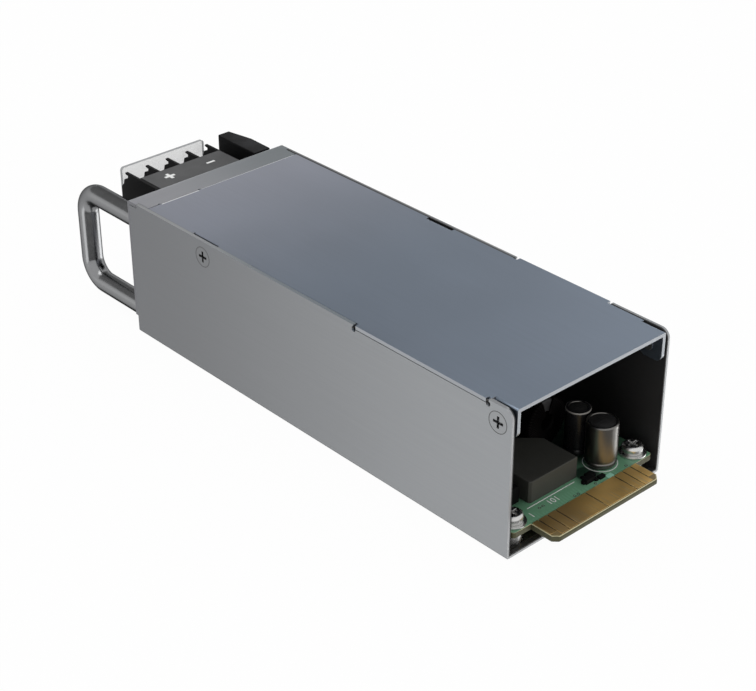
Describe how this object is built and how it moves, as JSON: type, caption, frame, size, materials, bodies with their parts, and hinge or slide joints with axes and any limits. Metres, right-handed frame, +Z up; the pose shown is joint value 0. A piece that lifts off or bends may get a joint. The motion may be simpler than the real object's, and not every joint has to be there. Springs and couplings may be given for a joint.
{
  "type": "hot swap server power supply",
  "caption": "Plug-in power module: folded steel case, U handle, barrier terminal block with clear cover, side release lever and internal fan; card-edge contacts at the open end.",
  "frame": {"origin": "centre of the case's underside, on the plane it rests on", "axes": "+Z up; +Y out of the open end with the card edge; -Y out of the end with the handle and input terminals; +X the side with the handle"},
  "size_m": [0.0542, 0.1813, 0.04],
  "materials": {
    "case_steel": "satin zinc-plated sheet",
    "cover_steel": "satin blue-grey plated sheet",
    "polished_steel": "polished",
    "screw_steel": "bright zinc",
    "plated_copper": "tin plated",
    "gold": "gold plated",
    "black_plastic": "matte",
    "white_plastic": "matte",
    "clear_plastic": "clear",
    "status_lens": "translucent",
    "red_lead": "satin",
    "black_lead": "satin",
    "bearing_bronze": "plain",
    "lamination_steel": "plain",
    "board_green": "solder mask",
    "insulating_film": "film",
    "can_aluminium": "bright",
    "can_sleeve": "shrink sleeve",
    "film_case": "moulded",
    "fuse_glass": "glazed",
    "ferrite": "matte",
    "enamelled_copper": "enamelled",
    "bobbin_plastic": "matte",
    "winding_tape": "tape",
    "sink_aluminium": "extruded"
  },
  "bodies": {
    "case": {"board_screws": "screw_steel", "board_standoffs": "screw_steel", "board_washers": "screw_steel", "card_contacts": "gold", "chassis": "case_steel", "choke_core": "ferrite", "choke_windings": "enamelled_copper", "control_board": "board_green", "control_chips": "black_plastic", "control_header": "black_plastic", "fan_bearing": "bearing_bronze", "fan_bracket": "case_steel", "fan_connector": "white_plastic", "fan_frame": "black_plastic", "fan_lead": "black_lead", "fan_screws": "screw_steel", "fan_stator": "lamination_steel", "film_capacitor": "film_case", "filter_capacitors": "can_sleeve", "floor_screws": "screw_steel", "front_panel": "case_steel", "fuse_clips": "screw_steel", "handle": "polished_steel", "handle_screws": "screw_steel", "input_fuse": "fuse_glass", "input_links": "plated_copper", "input_wire_negative": "black_lead", "input_wire_positive": "red_lead", "insulating_sheet": "insulating_film", "latch_bracket": "case_steel", "latch_pin": "screw_steel", "latch_rivets": "screw_steel", "latch_spring": "screw_steel", "main_board": "board_green", "output_capacitor": "can_aluminium", "output_choke_core": "ferrite", "output_choke_winding": "enamelled_copper", "output_inductor": "black_plastic", "power_transistors": "black_plastic", "primary_heatsink": "sink_aluminium", "secondary_heatsink": "sink_aluminium", "side_screws": "screw_steel", "small_parts": "black_plastic", "status_light": "status_lens", "tall_capacitor": "can_sleeve", "terminal_block": "black_plastic", "terminal_fixings": "screw_steel", "terminal_plates": "plated_copper", "terminal_screws": "screw_steel", "top_cover": "cover_steel", "transformer_bobbin": "bobbin_plastic", "transformer_core": "ferrite", "transformer_winding": "winding_tape", "transistor_screws": "screw_steel"},
    "fan_rotor": {"fan_rotor": "black_plastic", "fan_shaft": "screw_steel"},
    "release_lever": {"latch_lever": "black_plastic"},
    "terminal_cover": {"terminal_cover": "clear_plastic"}
  },
  "joints": [
    {"name": "fan_spin", "type": "hinge", "parent": "case", "child": "fan_rotor", "pos_m": [0.006, -0.0545, 0.02], "axis": [0, 1, 0], "continuous": true},
    {"name": "lever_swing", "type": "hinge", "parent": "case", "child": "release_lever", "pos_m": [-0.0222, -0.0265, 0.0271], "axis": [0, 0, 1], "range_deg": [0, 1.6], "stiffness_Nm_per_rad": 0.2, "springref_deg": -8.59},
    {"name": "terminal_cover_hinge", "type": "hinge", "parent": "case", "child": "terminal_cover", "pos_m": [-0.0016, -0.0881, 0.0242], "axis": [1, 0, 0], "range_deg": [0, 100]}
  ]
}
